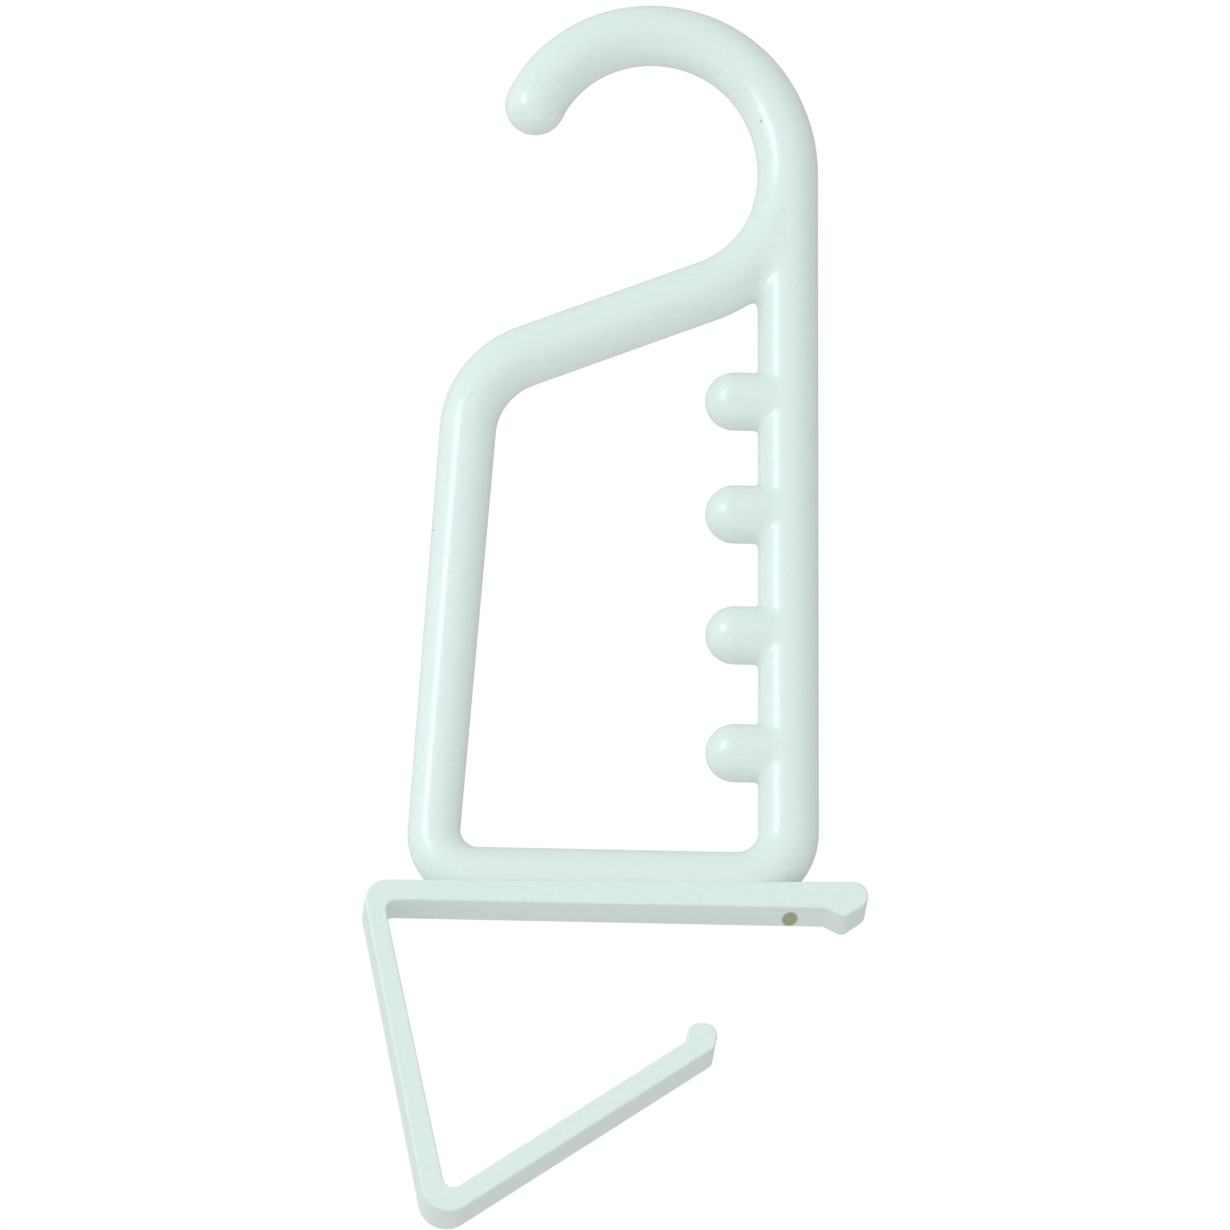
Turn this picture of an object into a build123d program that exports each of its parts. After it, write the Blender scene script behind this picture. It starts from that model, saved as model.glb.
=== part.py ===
from build123d import *
from math import atan2, cos, degrees, radians, sin
import os

# Clip drying hanger: a round-rod hook frame with four pegs, standing on a flat springy clip.
# Millimetres. The frame lies in the XZ plane: +X to the right, +Z up, +Y to the back.
# The origin is the centre of the hook, on the axis of the rail that it hangs from.

# Round rod
rod_radius = 5.05
slim_radius = 4.55          # the left post and the bends at its two ends are slimmer
peg_radius = 4.85
peg_root_radius = 4.9       # at the post's axis

# Hook centreline: a crown arc, a flatter back arc and a neck arc, each tangent to the next
hook_half_width = 22.65
hook_rise = 24.1
crown_centre_x = 0.2
crown_radius = 21.8
neck_radius = 21.0
tip_angle = 155.5           # where the crown arc ends in the rounded tip
neck_angle = -17.9          # where the back arc gives way to the neck arc
neck_bottom_z = -27.0       # below here the right post is a plain rod
web_half_thickness = 4.4    # the web that fills the groove between neck arc and post

# Frame loop
shoulder_slope = 21.9       # degrees above horizontal
rail_z = -125.6
left_foot_x = -37.1
left_post_angle = 85.5      # degrees above horizontal, so the post leans out at its foot
shoulder_radius = 15.5
left_corner_radius = 7.8
right_corner_radius = 9.0
peg_tip_x = 8.8
peg_shank_gap = 0.2         # the plain shank stops this far short of the post, where it swells
peg_heights = (-40.6, -60.6, -82.0, -102.8)

# Flat strip clip
strip_width = 9.8
bar_bottom_z = -131.5
bar_top_z = -127.95         # at the upper corner
bar_top_slope = 0.9         # degrees; the bar thickens towards the lip
upper_corner_x = -45.1      # inner corner between bar and link
link_angle = -78.5
link_length = 52.5          # inner corner to inner corner
link_top_thickness = 3.1
link_bottom_thickness = 3.85
arm_angle = 34.7
arm_thickness = 3.6
arm_length = 46.5           # inner corner to the start of the nose
outer_bend_radii = (3.6, 4.6)
inner_bend_radii = (1.8, 1.7)
upper_reach = 2.8           # how far the upper bend runs past its inner corner
lower_reach = 3.4
flex_gap = 0.3              # clearance where a bend meets the member that it lets swing

# Lip at the free end of the bar, and the nose that catches behind it
lip_start_x = 28.6
lip_end_x = 35.6
lip_side_z = -130.3
lip_crest = (31.8, -133.1)
lip_radii = (2.4, 2.0, 1.5)             # top, side, crest
nose_left_x = 5.5
nose_right_x = 10.9
nose_heel_x = 10.0
nose_top_z = -152.1
nose_radii = (1.0, 1.9, 2.1, 1.2)       # inner foot, two at the top, heel

os.makedirs("parts", exist_ok=True)


# Every Vector below is a point or step of the XZ plane, given as (x, z).
def polar(distance, angle):
    """A step of the given length, in a direction given in degrees above +X."""
    return Vector(distance * cos(radians(angle)), distance * sin(radians(angle)))


def meet(point_a, angle_a, point_b, angle_b):
    """The crossing point of two lines, each given by a point and a direction."""
    step = point_b - point_a
    across = polar(1, angle_b + 90)
    return point_a + polar(step.dot(across) / polar(1, angle_a).dot(across), angle_a)


bar_top = Plane(
    origin=(upper_corner_x, 0, bar_top_z),
    z_dir=(-sin(radians(bar_top_slope)), 0, cos(radians(bar_top_slope))),
)


def rod(path, radius):
    """A round bar swept along the centreline, cut flat where it would reach into the clip."""
    with BuildPart() as member:
        with BuildSketch(Plane(origin=path @ 0, z_dir=path % 0)):
            Circle(radius)
        sweep(path=path)
        split(bisect_by=bar_top, keep=Keep.TOP)
    return member.part


def strip(corners, radii):
    """A flat strip piece: an outline with rounded corners, as deep as the strip is wide."""
    with BuildPart() as member:
        with BuildSketch(Plane.XZ):
            with BuildLine():
                FilletPolyline(*corners, radius=radii, close=True)
            make_face()
        extrude(amount=strip_width / 2, both=True)
    return member.part


def save(part, name):
    part.label = name
    export_step(part, f"parts/{name}.step")


# Hook centreline
crown_centre = Vector(crown_centre_x, hook_rise - crown_radius)
crown_to_post = hook_half_width - crown_centre_x
back_radius = (
    (crown_to_post**2 + crown_centre.Y**2 - crown_radius**2) / (2 * (crown_to_post - crown_radius))
)
back_centre = Vector(hook_half_width - back_radius, 0)
crown_start = degrees(atan2(crown_centre.Y, crown_centre.X - back_centre.X))
neck_centre = back_centre + polar(back_radius - neck_radius, neck_angle)
neck_end_angle = shoulder_slope - 90
neck_end = neck_centre + polar(neck_radius, neck_end_angle)

with BuildLine(Plane.XZ) as hook_line:
    CenterArc(tuple(back_centre), back_radius, 0, crown_start)
    CenterArc(tuple(crown_centre), crown_radius, crown_start, tip_angle - crown_start)
with BuildLine(Plane.XZ) as neck_line:
    CenterArc(tuple(back_centre), back_radius, 0, neck_angle)
    CenterArc(tuple(neck_centre), neck_radius, neck_angle, neck_end_angle - neck_angle)
hook_path = hook_line.wire()
neck_path = neck_line.wire()

# Frame loop centreline
left_foot = Vector(left_foot_x, rail_z)
right_foot = Vector(hook_half_width, rail_z)
neck_bottom = Vector(hook_half_width, neck_bottom_z)
shoulder_corner = meet(neck_end, shoulder_slope, left_foot, left_post_angle)
loop_corners = (neck_end, shoulder_corner, left_foot, right_foot, neck_bottom)
with BuildLine(Plane.XZ) as loop_line:
    FilletPolyline(
        *map(tuple, loop_corners),
        radius=(shoulder_radius, left_corner_radius, right_corner_radius),
    )
with BuildLine(Plane.XZ) as post_line:
    post_head = Line((hook_half_width, 0), (hook_half_width, neck_bottom_z))

# Hook
save(rod(hook_path, rod_radius), "hook")

with BuildPart() as hook_tip:
    with Locations(hook_path @ 1):
        Sphere(rod_radius)
    split(bisect_by=Plane(origin=hook_path @ 1, z_dir=hook_path % 1), keep=Keep.TOP)
save(hook_tip.part, "hook_tip")

# The neck, where the hook's arc and the right post run into each other
with BuildPart() as hook_neck:
    for path in (neck_path, post_head):
        with BuildSketch(Plane(origin=path @ 0, z_dir=path % 0)):
            Circle(rod_radius)
        sweep(path=path)
    web_foot = neck_centre + polar(neck_radius, (neck_angle + neck_end_angle) / 2)
    with BuildSketch(Plane.XZ):
        with BuildLine():
            CenterArc(back_centre, back_radius, 0, neck_angle)
            CenterArc(neck_centre, neck_radius, neck_angle, (neck_end_angle - neck_angle) / 2)
            Polyline(web_foot, Vector(hook_half_width, web_foot.Y), Vector(hook_half_width, 0))
        make_face()
    extrude(amount=web_half_thickness, both=True)
save(hook_neck.part, "hook_neck")

# Frame loop. The clip's bar cuts the rail and both corners flat.
loop_members = (
    ("shoulder_rod", rod_radius),
    ("shoulder_bend", slim_radius),
    ("left_post", slim_radius),
    ("lower_left_corner", slim_radius),
    ("bottom_rail", rod_radius),
    ("lower_right_corner", rod_radius),
    ("right_post", rod_radius),
)
for (name, radius), path in zip(loop_members, loop_line.wire().order_edges()):
    save(rod(path, radius), name)

# Pegs, each with a round tip and a plain shank, swelling slightly as it enters the post
shank_start_x = peg_tip_x + peg_radius
shank_end_x = hook_half_width - rod_radius - peg_shank_gap
for number, height in enumerate(peg_heights, start=1):
    with BuildPart() as peg:
        with BuildSketch(Plane.XZ):
            with BuildLine():
                CenterArc((shank_start_x, height), peg_radius, 90, 90)
                Polyline(
                    (shank_start_x, height + peg_radius), (shank_end_x, height + peg_radius),
                    (hook_half_width, height + peg_root_radius), (hook_half_width, height),
                    (peg_tip_x, height),
                )
            make_face()
        revolve(axis=Axis((0, 0, height), (1, 0, 0)))
        with Locations((hook_half_width, 0, height)):
            Cylinder(rod_radius, 4 * rod_radius, mode=Mode.SUBTRACT)
    save(peg.part, f"peg_{number}")

# Clip corners. "out" is the outside of the folded strip.
upper_corner = Vector(upper_corner_x, bar_bottom_z)
lower_corner = upper_corner + polar(link_length, link_angle)
link_out_top = upper_corner + polar(link_top_thickness, link_angle - 90)
link_out_bottom = lower_corner + polar(link_bottom_thickness, link_angle - 90)
link_out = link_out_bottom - link_out_top
link_out_angle = degrees(atan2(link_out.Y, link_out.X))
arm_out = lower_corner + polar(arm_thickness, arm_angle - 90)
bar_out = Vector(upper_corner_x, bar_top_z)
upper_outer_corner = meet(link_out_top, link_out_angle, bar_out, bar_top_slope)
lower_outer_corner = meet(link_out_top, link_out_angle, arm_out, arm_angle)


def bar_cut(x):
    """Inner and outer end points of an upright cut across the bar."""
    return Vector(x, bar_bottom_z), meet(bar_out, bar_top_slope, Vector(x, 0), 90)


def link_cut(distance):
    """Inner and outer end points of a square cut across the link."""
    inner = upper_corner + polar(distance, link_angle)
    return inner, meet(inner, link_angle - 90, link_out_top, link_out_angle)


def arm_cut(distance):
    """Inner and outer end points of a square cut across the arm."""
    return lower_corner + polar(distance, arm_angle), arm_out + polar(distance, arm_angle)


# Clip bar
bar_start = bar_cut(upper_corner_x + upper_reach)
bar_end = bar_cut(lip_start_x)
save(strip((*bar_start, *reversed(bar_end)), (0, 0, 0, 0)), "clip_bar")

# Lip, with a ramp that the nose rides over
lip_corners = (*bar_end, bar_cut(lip_end_x)[1], Vector(lip_end_x, lip_side_z), Vector(*lip_crest))
save(strip(lip_corners, (0, 0, *lip_radii)), "latch_lip")

# Upper bend
inner, outer = link_cut(upper_reach)
upper_bend_corners = (*bar_start, upper_outer_corner, outer, inner, upper_corner)
upper_bend_radii = (0, 0, outer_bend_radii[0], 0, 0, inner_bend_radii[0])
save(strip(upper_bend_corners, upper_bend_radii), "upper_bend")

# Link and the bend at its foot
link_start = link_cut(upper_reach + flex_gap)
link_end = link_cut(link_length - lower_reach)
save(strip((*link_start, *reversed(link_end)), (0, 0, 0, 0)), "clip_link")

inner, outer = arm_cut(lower_reach)
lower_bend_corners = (link_end[0], lower_corner, inner, outer, lower_outer_corner, link_end[1])
lower_bend_radii = (0, inner_bend_radii[1], 0, 0, outer_bend_radii[1], 0)
save(strip(lower_bend_corners, lower_bend_radii), "lower_bend")

# Arm and its upturned nose
arm_start = arm_cut(lower_reach + flex_gap)
arm_end = arm_cut(arm_length)
save(strip((*arm_start, *reversed(arm_end)), (0, 0, 0, 0)), "clip_arm")

nose_foot = meet(lower_corner, arm_angle, Vector(nose_left_x, 0), 90)
nose_heel = meet(arm_out, arm_angle, Vector(nose_heel_x, 0), 90)
nose_corners = (
    arm_end[0], nose_foot, Vector(nose_left_x, nose_top_z),
    Vector(nose_right_x, nose_top_z), nose_heel, arm_end[1],
)
save(strip(nose_corners, (0, *nose_radii, 0)), "catch_nose")
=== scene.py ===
from itertools import product
from math import cos, degrees, hypot, radians, sin, tan

import bpy
import numpy as np
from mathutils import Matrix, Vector


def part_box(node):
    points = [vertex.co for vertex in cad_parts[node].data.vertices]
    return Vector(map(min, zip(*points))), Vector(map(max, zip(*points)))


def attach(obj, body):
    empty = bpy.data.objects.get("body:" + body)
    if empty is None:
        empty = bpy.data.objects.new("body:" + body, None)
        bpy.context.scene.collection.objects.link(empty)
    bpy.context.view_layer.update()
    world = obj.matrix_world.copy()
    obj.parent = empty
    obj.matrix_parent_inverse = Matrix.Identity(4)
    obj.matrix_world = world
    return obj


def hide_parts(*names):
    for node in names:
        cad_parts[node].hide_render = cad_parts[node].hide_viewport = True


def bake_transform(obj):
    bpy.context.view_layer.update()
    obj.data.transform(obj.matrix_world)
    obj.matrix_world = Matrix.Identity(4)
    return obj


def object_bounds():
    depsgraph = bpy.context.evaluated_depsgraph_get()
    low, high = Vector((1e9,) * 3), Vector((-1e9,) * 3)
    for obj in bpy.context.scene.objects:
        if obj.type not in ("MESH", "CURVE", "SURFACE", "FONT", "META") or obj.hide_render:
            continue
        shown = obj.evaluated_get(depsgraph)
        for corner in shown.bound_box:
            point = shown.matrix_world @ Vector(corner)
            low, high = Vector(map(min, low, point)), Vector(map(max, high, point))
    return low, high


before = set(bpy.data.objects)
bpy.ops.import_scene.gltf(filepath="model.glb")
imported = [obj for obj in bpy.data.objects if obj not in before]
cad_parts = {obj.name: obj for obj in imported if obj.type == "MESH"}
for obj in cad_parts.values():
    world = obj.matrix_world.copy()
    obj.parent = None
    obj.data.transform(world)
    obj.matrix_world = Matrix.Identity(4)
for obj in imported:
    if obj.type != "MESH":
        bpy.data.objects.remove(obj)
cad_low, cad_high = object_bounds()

# Clip drying hanger: one moulding of round rod with four pegs, on a flat springy strip.
# Shapes are worked out in millimetres, as (x, z) points of the hanger's own plane.
MM = 0.001

# --------------------------------------------------------------------------- driving sizes

# Hook and shoulder
crown_centre_x = 0.2
crown_radius = 21.8
neck_radius = 21.0
tip_angle = 155.5
neck_angle = -17.9
shoulder_slope = 21.9
shoulder_radius = 15.5

# Loop
left_foot_x = -37.1
left_post_angle = 85.5
left_corner_radius = 7.8
right_corner_radius = 9.0
post_head_radius = 4.7          # the left post tapers from here
post_foot_radius = 4.35         # to here
web_fillet = 2.0                # the most that hook and post melt together
peg_fillet = 0.9
peg_radius = 4.85
peg_end_inset = 1.5             # a peg's axis stops this far short of the post's
rail_sink = 0.6                 # how deep the rail's flat underside sits in the bar

# Strip
upper_corner = np.array((-45.1, -131.5))
bar_top_z = -127.95             # at the upper corner
bar_top_slope = 0.9
link_angle = -78.5
link_length = 52.5
link_top_thickness = 3.1
link_bottom_thickness = 3.85
arm_angle = 34.7
arm_thickness = 3.6
strip_edge_radius = 0.35
lip_side_z = -130.3
lip_crest = (31.8, -133.1)
nose_left_x = 5.5
nose_right_x = 10.9
nose_heel_x = 10.0
nose_top_z = -152.1
outer_bend_radii = (3.6, 4.6)               # upper bend, lower bend
inner_bend_radii = (1.8, 1.7)
lip_radii = (1.6, 1.5, 2.0, 2.4)            # ramp foot, crest, side, top
nose_radii = (1.2, 2.1, 1.9, 1.0)           # heel, two at the top, foot

# Surface marks
speck_spacing = 17.0
speck_size = 0.35
gate_mark_place = (22.9, 1.0, -131.5)       # on the underside of the bar
gate_mark_half_size = (1.45, 3.9, 0.5)

# Mesh fineness
net_cell = 0.5
arc_points = 14
straight_step = 1.5
edge_steps = 5

# --------------------------------------------------------------------------- places from the frame


def box_mm(node):
    """Lowest and highest corner of a CAD node, in millimetres."""
    low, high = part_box(node)
    return np.array(low) / MM, np.array(high) / MM


post_low, post_high = box_mm("right_post")
post_x = (post_low[0] + post_high[0]) / 2
rod_radius = (post_high[0] - post_low[0]) / 2
hook_rise = box_mm("hook")[1][2] - rod_radius
rail_z = box_mm("bottom_rail")[1][2] - rod_radius
lip_low, lip_high = box_mm("latch_lip")
lip_start_x, lip_end_x = lip_low[0], lip_high[0]
strip_half_width = lip_high[1]
pegs = [box_mm(name) for name in sorted(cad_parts) if name.startswith("peg_")]
peg_tip_x = pegs[0][0][0]
peg_heights = [(low[2] + high[2]) / 2 for low, high in pegs]

# --------------------------------------------------------------------------- plane geometry


def polar(distance, angle):
    """A step of the given length in a direction given in degrees."""
    return distance * np.array((cos(radians(angle)), sin(radians(angle))))


def meet(point_a, angle_a, point_b, angle_b):
    """The crossing point of two lines, each given by a point and a direction."""
    across = polar(1, angle_b + 90)
    step = np.asarray(point_b, float) - point_a
    return point_a + polar(step @ across / (polar(1, angle_a) @ across), angle_a)


def heading(step):
    """The direction of a step, in degrees."""
    return degrees(np.arctan2(step[1], step[0]))


def corner_arc(before, corner, after, radius):
    """Centre, start angle and sweep in degrees of the arc that rounds a corner."""
    back, ahead = (np.asarray(end, float) - corner for end in (before, after))
    back, ahead = back / hypot(*back), ahead / hypot(*ahead)
    half = np.arccos(np.clip(back @ ahead, -1, 1)) / 2
    bisector = (back + ahead) / hypot(*(back + ahead))
    centre = corner + bisector * radius / sin(half)
    first = heading(corner + back * radius / tan(half) - centre)
    last = heading(corner + ahead * radius / tan(half) - centre)
    return centre, first, (last - first + 180) % 360 - 180


def rounded_outline(corners, radii):
    """Points and outward normals of a closed outline, given anticlockwise.

    Each corner becomes an arc. A corner with radius 0 is the end of a square cut: it stays sharp,
    and its normal lies along the cut, which runs to the other corner with radius 0.
    """
    corners = [np.asarray(corner, float) for corner in corners]
    cut_ends = [corner for corner, radius in zip(corners, radii) if radius == 0]
    stretches = []
    for number, (corner, radius) in enumerate(zip(corners, radii)):
        if radius == 0:
            along_cut = 2 * corner - sum(cut_ends)
            stretches.append([(corner, along_cut / hypot(*along_cut))])
            continue
        after = corners[(number + 1) % len(corners)]
        centre, first, sweep = corner_arc(corners[number - 1], corner, after, radius)
        outward = np.sign(sweep)
        angles = [first + sweep * share for share in np.linspace(0, 1, arc_points)]
        arc = [(centre + polar(radius, angle), outward * polar(1, angle)) for angle in angles]
        stretches.append(arc)
    outline = []
    for number, stretch in enumerate(stretches):
        start, end = stretches[number - 1][-1], stretch[0]
        run = hypot(*(end[0] - start[0]))
        for share in np.linspace(0, 1, max(2, round(run / straight_step)))[1:-1]:
            outline.append([start[side] + share * (end[side] - start[side]) for side in (0, 1)])
        outline += stretch
    return np.array(outline)


# --------------------------------------------------------------------------- rod members


class Straight:
    """A straight stretch of rod. Its thickness runs evenly from one radius to the other."""

    def __init__(self, start, end, radii):
        self.start, self.end = np.asarray(start, float), np.asarray(end, float)
        self.radii = radii

    def nearest(self, flat):
        """For points of the plane, the nearest centreline points and the rod's radius there."""
        step = self.end - self.start
        share = np.clip((flat - self.start) @ step / (step @ step), 0, 1)
        return self.start + share[:, None] * step, np.interp(share, (0, 1), self.radii)


class Arc:
    """A bent stretch of rod, from a start angle through a sweep, both in degrees."""

    def __init__(self, centre, bend_radius, first, sweep, radii):
        self.centre, self.bend_radius = np.asarray(centre, float), bend_radius
        self.middle, self.half = radians(first + sweep / 2), abs(radians(sweep / 2))
        self.radii = radii if sweep > 0 else radii[::-1]
        self.start = self.centre + polar(bend_radius, first)
        self.end = self.centre + polar(bend_radius, first + sweep)

    def nearest(self, flat):
        """For points of the plane, the nearest centreline points and the rod's radius there."""
        away = flat - self.centre
        turn = np.arctan2(away[:, 1], away[:, 0]) - self.middle
        turn = np.clip((turn + np.pi) % (2 * np.pi) - np.pi, -self.half, self.half)
        angle = self.middle + turn
        nearest = self.centre + self.bend_radius * np.stack((np.cos(angle), np.sin(angle)), axis=1)
        return nearest, np.interp(turn, (-self.half, self.half), self.radii)


def rod_corner(before, corner, after, bend_radius, radii):
    """The bend that joins two straight stretches meeting at a corner."""
    centre, first, sweep = corner_arc(before, corner, after, bend_radius)
    return Arc(centre, bend_radius, first, sweep, radii)


def hook_members():
    """Crown, back and neck arcs, each tangent to the next, and the straight shoulder."""
    full = (rod_radius, rod_radius)
    crown_centre = np.array((crown_centre_x, hook_rise - crown_radius))
    crown_to_post = post_x - crown_centre_x
    spread = crown_to_post**2 + crown_centre[1]**2 - crown_radius**2
    back_radius = spread / (2 * (crown_to_post - crown_radius))
    back_centre = np.array((post_x - back_radius, 0))
    crown_start = heading(crown_centre - back_centre)
    neck_centre = back_centre + polar(back_radius - neck_radius, neck_angle)
    neck_end_angle = shoulder_slope - 90
    crown = Arc(crown_centre, crown_radius, crown_start, tip_angle - crown_start, full)
    back = Arc(back_centre, back_radius, neck_angle, crown_start - neck_angle, full)
    neck = Arc(neck_centre, neck_radius, neck_angle, neck_end_angle - neck_angle, full)
    return crown, back, neck


def loop_members(neck):
    """Shoulder, left post, rail and right post, with the bends between them."""
    left_foot = np.array((left_foot_x, rail_z))
    right_foot = np.array((post_x, rail_z))
    right_head = np.array((post_x, 0.0))
    corner = meet(neck.end, shoulder_slope, left_foot, left_post_angle)
    full, head, foot = rod_radius, post_head_radius, post_foot_radius
    shoulder_bend = rod_corner(neck.end, corner, left_foot, shoulder_radius, (full, head))
    left_corner = rod_corner(corner, left_foot, right_foot, left_corner_radius, (foot, full))
    right_corner = rod_corner(left_foot, right_foot, right_head, right_corner_radius, (full, full))
    shoulder = Straight(neck.end, shoulder_bend.start, (full, full))
    left_post = Straight(shoulder_bend.end, left_corner.start, (head, foot))
    rail = Straight(left_corner.end, right_corner.start, (full, full))
    right_post = Straight(right_corner.end, right_head, (full, full))
    return shoulder, (shoulder_bend, left_post, left_corner, rail, right_corner), right_post


crown, back, neck = hook_members()
shoulder, loop, right_post = loop_members(neck)
peg_members = [
    Straight((peg_tip_x + peg_radius, z), (post_x - peg_end_inset, z), (peg_radius, peg_radius))
    for z in peg_heights
]


def rod_distance(members, points):
    """Distance from the skin of some rod members, and the nearest point of their centreline."""
    flat = points[:, (0, 2)]
    best = np.full(len(points), np.inf)
    centre = np.zeros((len(points), 2))
    for member in members:
        nearest, radius = member.nearest(flat)
        gap = np.sqrt(((flat - nearest) ** 2).sum(axis=1) + points[:, 1] ** 2) - radius
        closer = gap < best
        best[closer] = gap[closer]
        centre[closer] = nearest[closer]
    return best, centre


def melt(one, other, width):
    """Union of two distances with a fillet, which begins where they differ by the width."""
    width = np.maximum(width, 1e-6)
    overlap = np.maximum(width - abs(one - other), 0) / width
    return np.minimum(one, other) - overlap**2 * width / 4


def frame_distance(points):
    """Distance from the skin of the whole rod frame, positive outside it."""
    hook, hook_centre = rod_distance((crown, back, neck, shoulder), points)
    post, post_centre = rod_distance((right_post,), points)
    apart = np.sqrt(((hook_centre - post_centre) ** 2).sum(axis=1))
    # The fillet width that fills the groove just up to the level of both rods
    flush = 4 * (np.sqrt(rod_radius**2 + apart**2 / 4) - rod_radius)
    distance = melt(hook, post, np.minimum(flush, web_fillet))
    distance = np.minimum(distance, rod_distance(loop, points)[0])
    for peg in peg_members:
        distance = melt(distance, rod_distance((peg,), points)[0], peg_fillet)
    above_bar = (points[:, (0, 2)] - (upper_corner[0], bar_top_z)) @ polar(1, bar_top_slope + 90)
    return np.maximum(distance, -rail_sink - above_bar)


# --------------------------------------------------------------------------- meshes


def surface_net(distance, low, high, cell):
    """Vertices and quads of a distance's zero surface, one vertex in each grid cell it crosses."""
    ticks = [np.arange(start, end + cell, cell) for start, end in zip(low, high)]
    grid = np.stack(np.meshgrid(*ticks, indexing="ij"), axis=-1)
    inside = (distance(grid.reshape(-1, 3)) < 0).reshape(grid.shape[:3])
    cells = tuple(size - 1 for size in inside.shape)
    corners_inside = np.zeros(cells, int)
    for i, j, k in product((0, 1), repeat=3):
        corners_inside += inside[i:i + cells[0], j:j + cells[1], k:k + cells[2]]
    crossed = (corners_inside > 0) & (corners_inside < 8)
    index = np.full(cells, -1)
    index[crossed] = np.arange(crossed.sum())
    quads = []
    for axis in range(3):
        side, up = np.roll(np.eye(3, dtype=int), -axis - 1, axis=0)[:2]
        lower = np.delete(inside, -1, axis=axis)
        upper = np.delete(inside, 0, axis=axis)
        for outward in (True, False):
            edge = np.argwhere((lower != upper) & (lower == outward))
            ring = (edge, edge - side, edge - side - up, edge - up)
            quad = np.stack([index[tuple(corner.T)] for corner in ring], axis=1)
            quads.append(quad if outward else quad[:, ::-1])
    return grid[:-1, :-1, :-1][crossed] + cell / 2, np.concatenate(quads)


def slope_of(distance, points, reach=0.02):
    """How fast a distance grows in each direction."""
    steps = np.eye(3) * reach
    rises = [distance(points + step) - distance(points - step) for step in steps]
    return np.stack(rises, axis=1) / (2 * reach)


def settle(points, distance, rounds):
    """Moves points onto the zero surface of a distance, along its slope."""
    for _ in range(rounds):
        slope = slope_of(distance, points)
        steepness = np.maximum((slope**2).sum(axis=1), 0.1)
        points = points - (distance(points) / steepness)[:, None] * slope
    return points


def even_out(points, quads):
    """Moves each point halfway to the middle of its neighbours."""
    total = np.zeros_like(points)
    count = np.zeros(len(points))
    for start, end in ((0, 1), (1, 2), (2, 3), (3, 0)):
        np.add.at(total, quads[:, start], points[quads[:, end]])
        np.add.at(count, quads[:, start], 1)
    return (points + total / count[:, None]) / 2


def new_piece(name, points, faces, normals, material):
    """A mesh object from points in millimetres, shaded by the normals of the true surface."""
    mesh = bpy.data.meshes.new(name)
    mesh.from_pydata((points * MM).tolist(), [], faces)
    mesh.shade_smooth()
    mesh.normals_split_custom_set_from_vertices(normals.tolist())
    mesh.materials.append(material)
    piece = bpy.data.objects.new(name, mesh)
    bpy.context.scene.collection.objects.link(piece)
    return piece


def make_rod_frame(material):
    """Hook, shoulder, posts, rail and pegs as one continuous moulded skin."""
    margin = 1.2
    low = np.array((left_foot_x - 2 * rod_radius, -rod_radius - margin, bar_top_z - rail_sink - margin))
    high = np.array((post_x + rod_radius + margin, rod_radius + margin, hook_rise + rod_radius + margin))
    points, quads = surface_net(frame_distance, low, high, net_cell)
    points = settle(points, frame_distance, rounds=3)
    for _ in range(3):
        points = settle(even_out(points, quads), frame_distance, rounds=2)
    normals = slope_of(frame_distance, points)
    return new_piece("rod_frame", points, quads.tolist(), normals, material)


def make_strip(name, corners, radii, material):
    """A flat strip: the outline carried from front to back, its rim rounded over at both faces."""
    outline, outward = np.swapaxes(rounded_outline(corners, radii), 0, 1)
    turns = np.radians(np.linspace(0, 90, edge_steps))
    rings = [(turn, -1) for turn in turns] + [(turn, 1) for turn in turns[::-1]]
    points, normals = [], []
    for turn, face in rings:
        flat = outline - outward * strip_edge_radius * (1 - sin(turn))
        depth = face * (strip_half_width - strip_edge_radius * (1 - cos(turn)))
        points.append(np.insert(flat, 1, depth, axis=1))
        normals.append(np.insert(outward * sin(turn), 1, face * cos(turn), axis=1))
    count = len(outline)
    front = list(range(count))
    back = [count * (len(rings) - 1) + number for number in reversed(front)]
    faces = [front, back]
    for ring in range(len(rings) - 1):
        for number in front:
            last, here = ring * count + (number - 1) % count, ring * count + number
            faces.append([last, last + count, here + count, here])
    return new_piece(
        name, np.concatenate(points), faces, np.concatenate(normals), material
    )


# Strip corners. "out" is the outside of the folded strip.
lower_corner = upper_corner + polar(link_length, link_angle)
link_out_top = upper_corner + polar(link_top_thickness, link_angle - 90)
link_out_bottom = lower_corner + polar(link_bottom_thickness, link_angle - 90)
link_out_angle = heading(link_out_bottom - link_out_top)
arm_out = lower_corner + polar(arm_thickness, arm_angle - 90)
bar_out = (upper_corner[0], bar_top_z)
lip_top_corner = meet(bar_out, bar_top_slope, (lip_end_x, 0), 90)
upper_outer_corner = meet(link_out_top, link_out_angle, bar_out, bar_top_slope)
lower_outer_corner = meet(link_out_top, link_out_angle, arm_out, arm_angle)
seam_in = upper_corner + polar(link_length / 2, link_angle)
seam_out = meet(seam_in, link_angle - 90, link_out_top, link_out_angle)


def make_upper_strip(material):
    """Bar with its lip, upper bend and the upper half of the link."""
    corners = (
        (lip_start_x, upper_corner[1]), lip_crest, (lip_end_x, lip_side_z), lip_top_corner,
        upper_outer_corner, seam_out, seam_in, upper_corner,
    )
    radii = (*lip_radii, outer_bend_radii[0], 0, 0, inner_bend_radii[0])
    return make_strip("clip_upper", corners, radii, material)


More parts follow.
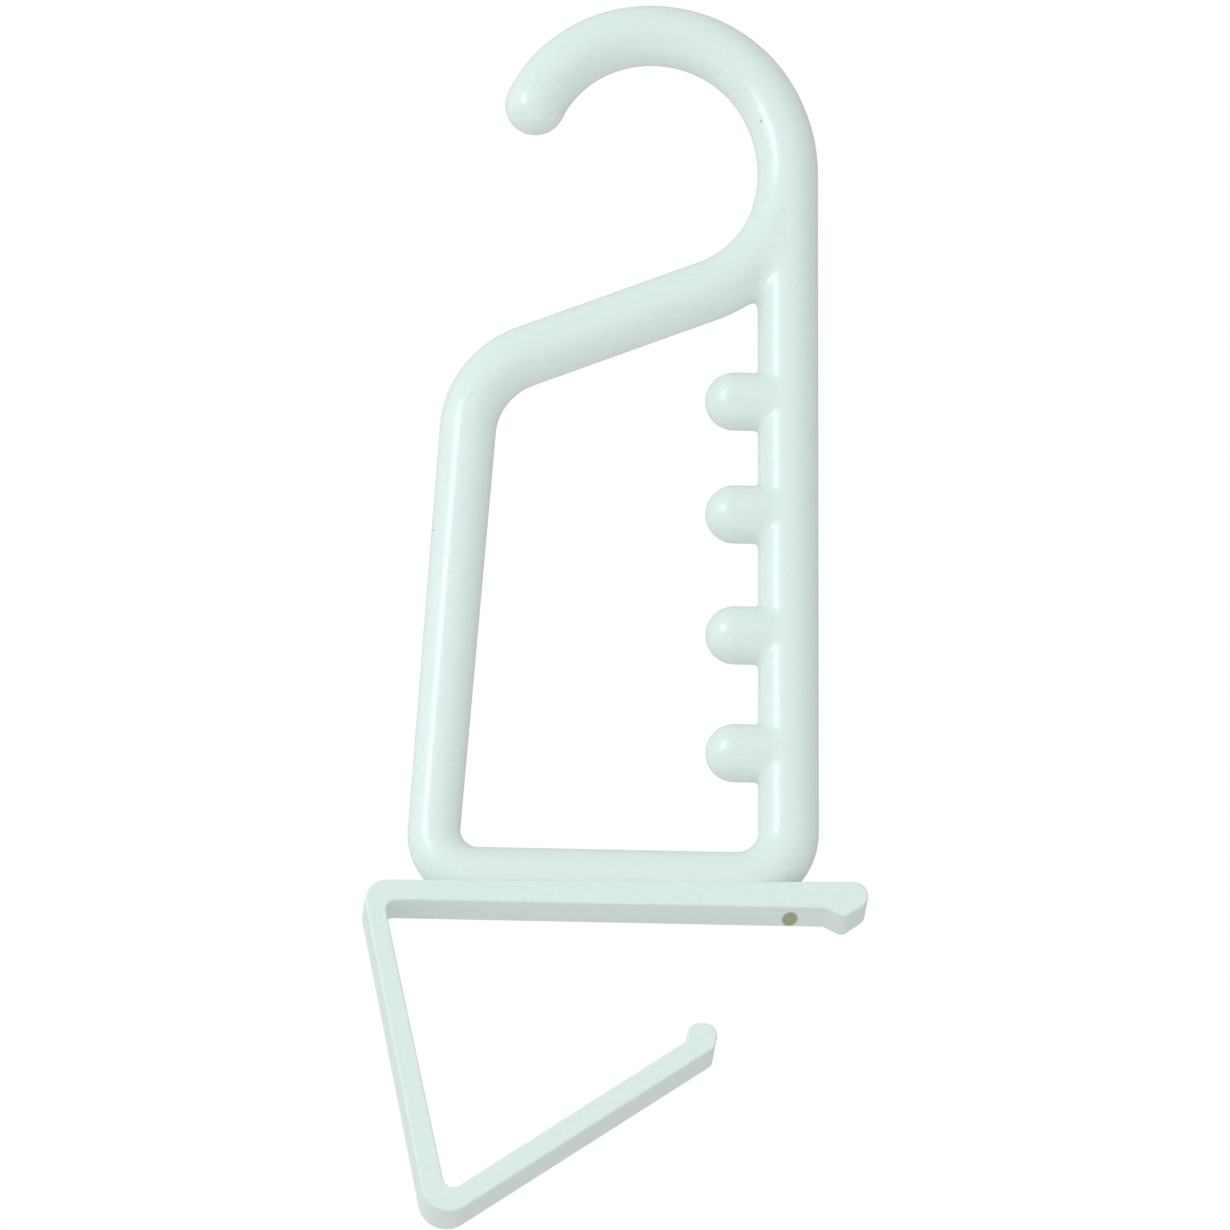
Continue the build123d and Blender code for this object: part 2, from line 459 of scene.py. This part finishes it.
def make_lower_strip(material):
    """Lower half of the link, lower bend, arm and the nose at its end."""
    nose_foot = meet(lower_corner, arm_angle, (nose_left_x, 0), 90)
    nose_heel = meet(arm_out, arm_angle, (nose_heel_x, 0), 90)
    corners = (
        seam_in, seam_out, lower_outer_corner, nose_heel, (nose_right_x, nose_top_z),
        (nose_left_x, nose_top_z), nose_foot, lower_corner,
    )
    radii = (0, 0, outer_bend_radii[1], *nose_radii, inner_bend_radii[1])
    return make_strip("clip_lower", corners, radii, material)


# --------------------------------------------------------------------------- materials


def plastic(name, light_tint, deep_tint, roughness, mottle_size, bump_strength):
    """Moulded plastic: faint mottling, rare dark specks, an uneven gloss and a very fine texture."""
    material = bpy.data.materials.new(name)
    material.use_nodes = True
    nodes, links = material.node_tree.nodes, material.node_tree.links
    shader = nodes["Principled BSDF"]
    place = nodes.new("ShaderNodeTexCoord")

    mottle = nodes.new("ShaderNodeTexNoise")
    mottle.inputs["Scale"].default_value = 1 / (mottle_size * MM)
    mottle.inputs["Detail"].default_value = 4
    links.new(place.outputs["Object"], mottle.inputs["Vector"])
    tint = nodes.new("ShaderNodeValToRGB")
    tint.color_ramp.elements[0].position = 0.35
    tint.color_ramp.elements[0].color = (*deep_tint, 1)
    tint.color_ramp.elements[1].position = 0.65
    tint.color_ramp.elements[1].color = (*light_tint, 1)
    links.new(mottle.outputs["Fac"], tint.inputs["Fac"])

    specks = nodes.new("ShaderNodeTexVoronoi")
    specks.inputs["Scale"].default_value = 1 / (speck_spacing * MM)
    links.new(place.outputs["Object"], specks.inputs["Vector"])
    clear = nodes.new("ShaderNodeMapRange")
    clear.inputs["From Min"].default_value = speck_size / speck_spacing / 3
    clear.inputs["From Max"].default_value = speck_size / speck_spacing
    links.new(specks.outputs["Distance"], clear.inputs["Value"])
    speckled = nodes.new("ShaderNodeMix")
    speckled.data_type = "RGBA"
    speckled.inputs["A"].default_value = (0.42, 0.44, 0.40, 1)
    links.new(clear.outputs["Result"], speckled.inputs["Factor"])
    links.new(tint.outputs["Color"], speckled.inputs["B"])
    links.new(speckled.outputs["Result"], shader.inputs["Base Color"])

    gloss = nodes.new("ShaderNodeMapRange")
    gloss.inputs["To Min"].default_value = roughness * 0.85
    gloss.inputs["To Max"].default_value = roughness * 1.2
    links.new(mottle.outputs["Fac"], gloss.inputs["Value"])
    links.new(gloss.outputs["Result"], shader.inputs["Roughness"])

    grain = nodes.new("ShaderNodeTexNoise")
    grain.inputs["Scale"].default_value = 1 / (0.6 * MM)
    grain.inputs["Detail"].default_value = 3
    links.new(place.outputs["Object"], grain.inputs["Vector"])
    bump = nodes.new("ShaderNodeBump")
    bump.inputs["Strength"].default_value = bump_strength
    bump.inputs["Distance"].default_value = 0.02 * MM
    links.new(grain.outputs["Fac"], bump.inputs["Height"])
    links.new(bump.outputs["Normal"], shader.inputs["Normal"])
    return material


def add_gate_mark(material, centre, half_size):
    """The oval scar left where the moulding was cut from its runner: olive, with a grey rim."""
    nodes, links = material.node_tree.nodes, material.node_tree.links
    shader = nodes["Principled BSDF"]
    plain = shader.inputs["Base Color"].links[0].from_socket
    place = nodes.new("ShaderNodeTexCoord")
    offset = nodes.new("ShaderNodeVectorMath")
    offset.operation = "SUBTRACT"
    offset.inputs[1].default_value = Vector(centre) * MM
    links.new(place.outputs["Object"], offset.inputs[0])
    shares = nodes.new("ShaderNodeVectorMath")
    shares.operation = "DIVIDE"
    shares.inputs[1].default_value = Vector(half_size) * MM
    links.new(offset.outputs["Vector"], shares.inputs[0])
    reach = nodes.new("ShaderNodeVectorMath")
    reach.operation = "LENGTH"
    links.new(shares.outputs["Vector"], reach.inputs[0])
    stain = nodes.new("ShaderNodeValToRGB")
    ramp = stain.color_ramp
    ramp.elements[0].position = 0.3
    ramp.elements[0].color = (0.36, 0.41, 0.12, 1)
    ramp.elements[1].position = 0.75
    ramp.elements[1].color = (0.30, 0.33, 0.29, 1)
    links.new(reach.outputs["Value"], stain.inputs["Fac"])
    edge = nodes.new("ShaderNodeMapRange")
    edge.inputs["From Min"].default_value = 0.75
    links.new(reach.outputs["Value"], edge.inputs["Value"])
    marked = nodes.new("ShaderNodeMix")
    marked.data_type = "RGBA"
    links.new(edge.outputs["Result"], marked.inputs["Factor"])
    links.new(stain.outputs["Color"], marked.inputs["A"])
    links.new(plain, marked.inputs["B"])
    links.new(marked.outputs["Result"], shader.inputs["Base Color"])


def rod_material():
    return plastic("rod_plastic", (0.80, 0.88, 0.86), (0.77, 0.86, 0.84), 0.2, 1.0, 0.2)


def strip_material():
    material = plastic("strip_plastic", (0.79, 0.88, 0.85), (0.76, 0.85, 0.82), 0.45, 1.2, 0.4)
    add_gate_mark(material, gate_mark_place, gate_mark_half_size)
    return material


# --------------------------------------------------------------------------- studio


def make_floor():
    """A plain pale floor, far below the hanging hanger."""
    depth, half_size = 8.0, 50.0
    mesh = bpy.data.meshes.new("floor")
    corners = [(x * half_size, y * half_size, -depth) for x, y in ((-1, -1), (1, -1), (1, 1), (-1, 1))]
    mesh.from_pydata(corners, [], [(0, 1, 2, 3)])
    material = bpy.data.materials.new("floor")
    material.use_nodes = True
    shader = material.node_tree.nodes["Principled BSDF"]
    shader.inputs["Base Color"].default_value = (0.88, 0.86, 0.85, 1)
    shader.inputs["Roughness"].default_value = 0.9
    mesh.materials.append(material)
    floor = bpy.data.objects.new("floor", mesh)
    bpy.context.scene.collection.objects.link(floor)


def make_world():
    """A room brighter and faintly mint at the lower left front, seen as white behind the hanger."""
    toward_light = Vector((-0.72, -0.62, -0.38)).normalized()
    dim, bright = (0.46, 0.42, 0.455), (1.13, 1.26, 1.22)
    world = bpy.data.worlds.new("studio")
    bpy.context.scene.world = world
    world.use_nodes = True
    nodes, links = world.node_tree.nodes, world.node_tree.links
    background = nodes["Background"]
    place = nodes.new("ShaderNodeTexCoord")
    side = nodes.new("ShaderNodeVectorMath")
    side.operation = "DOT_PRODUCT"
    side.inputs[1].default_value = toward_light
    links.new(place.outputs["Generated"], side.inputs[0])
    span = nodes.new("ShaderNodeMapRange")
    span.inputs["From Min"].default_value = -1.0
    links.new(side.outputs["Value"], span.inputs["Value"])
    room = nodes.new("ShaderNodeMix")
    room.data_type = "RGBA"
    room.inputs["A"].default_value = (*dim, 1)
    room.inputs["B"].default_value = (*bright, 1)
    links.new(span.outputs["Result"], room.inputs["Factor"])
    path = nodes.new("ShaderNodeLightPath")
    seen = nodes.new("ShaderNodeMix")
    seen.data_type = "RGBA"
    seen.inputs["B"].default_value = (1, 1, 1, 1)
    links.new(path.outputs["Is Camera Ray"], seen.inputs["Factor"])
    links.new(room.outputs["Result"], seen.inputs["A"])
    links.new(seen.outputs["Result"], background.inputs["Color"])


def make_light(name, place, aim, size, watts, colour, glossy_only=False):
    """A rectangular soft light that the camera doesn't see. Places are in millimetres."""
    data = bpy.data.lights.new(name, "AREA")
    data.shape = "RECTANGLE"
    data.size, data.size_y = size[0] * MM, size[1] * MM
    data.energy = watts
    data.color = colour
    light = bpy.data.objects.new(name, data)
    light.location = Vector(place) * MM
    light.rotation_mode = "QUATERNION"
    light.rotation_quaternion = (Vector(aim) - Vector(place)).to_track_quat("-Z", "Y")
    light.visible_camera = False
    light.visible_diffuse = not glossy_only
    bpy.context.scene.collection.objects.link(light)


def make_lights():
    """Soft light from the left and from below, and a small light that draws streaks on the rods."""
    make_light("soft_left", (-900, -700, 150), (0, 0, -80), (900, 900), 1.5, (0.94, 1.0, 0.97))
    make_light("soft_below", (-200, -700, -1300), (0, 0, -80), (1600, 1600), 3.4, (1.0, 0.96, 0.94))
    make_light(
        "streak", (-455, -405, 90), (0, 0, -60), (180, 320), 0.7, (0.95, 1.0, 0.98), glossy_only=True
    )


def make_camera():
    """Looking up and a little to the right, from so far off that almost nothing tapers."""
    azimuth, elevation = radians(-3.5), radians(-19.5)
    view_width, lens, sensor_width = 0.205, 1500.0, 36.0
    aim_drop = Vector((0, 0, 0.4 * MM))
    distance = view_width * lens / sensor_width
    back = Vector((sin(azimuth) * cos(elevation), -cos(azimuth) * cos(elevation), sin(elevation)))
    data = bpy.data.cameras.new("camera")
    data.sensor_width = sensor_width
    data.lens = lens
    data.clip_end = 2 * distance
    camera = bpy.data.objects.new("camera", data)
    camera.location = (cad_low + cad_high) / 2 - aim_drop + back * distance
    camera.rotation_mode = "QUATERNION"
    camera.rotation_quaternion = (-back).to_track_quat("-Z", "Y")
    bpy.context.scene.collection.objects.link(camera)
    bpy.context.scene.camera = camera


# --------------------------------------------------------------------------- assembly

rod_frame = make_rod_frame(rod_material())
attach(rod_frame, "frame")
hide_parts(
    "hook", "hook_tip", "hook_neck", "shoulder_rod", "shoulder_bend", "left_post",
    "lower_left_corner", "bottom_rail", "lower_right_corner", "right_post",
    "peg_1", "peg_2", "peg_3", "peg_4",
)

strip_plastic = strip_material()
clip_upper = make_upper_strip(strip_plastic)
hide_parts("clip_bar", "latch_lip", "upper_bend", "clip_link")
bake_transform(clip_upper)
clip_lower = make_lower_strip(strip_plastic)
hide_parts("lower_bend", "clip_arm", "catch_nose")
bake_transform(clip_lower)

make_floor()
make_world()
make_lights()
make_camera()
bpy.context.scene.view_settings.view_transform = "Standard"
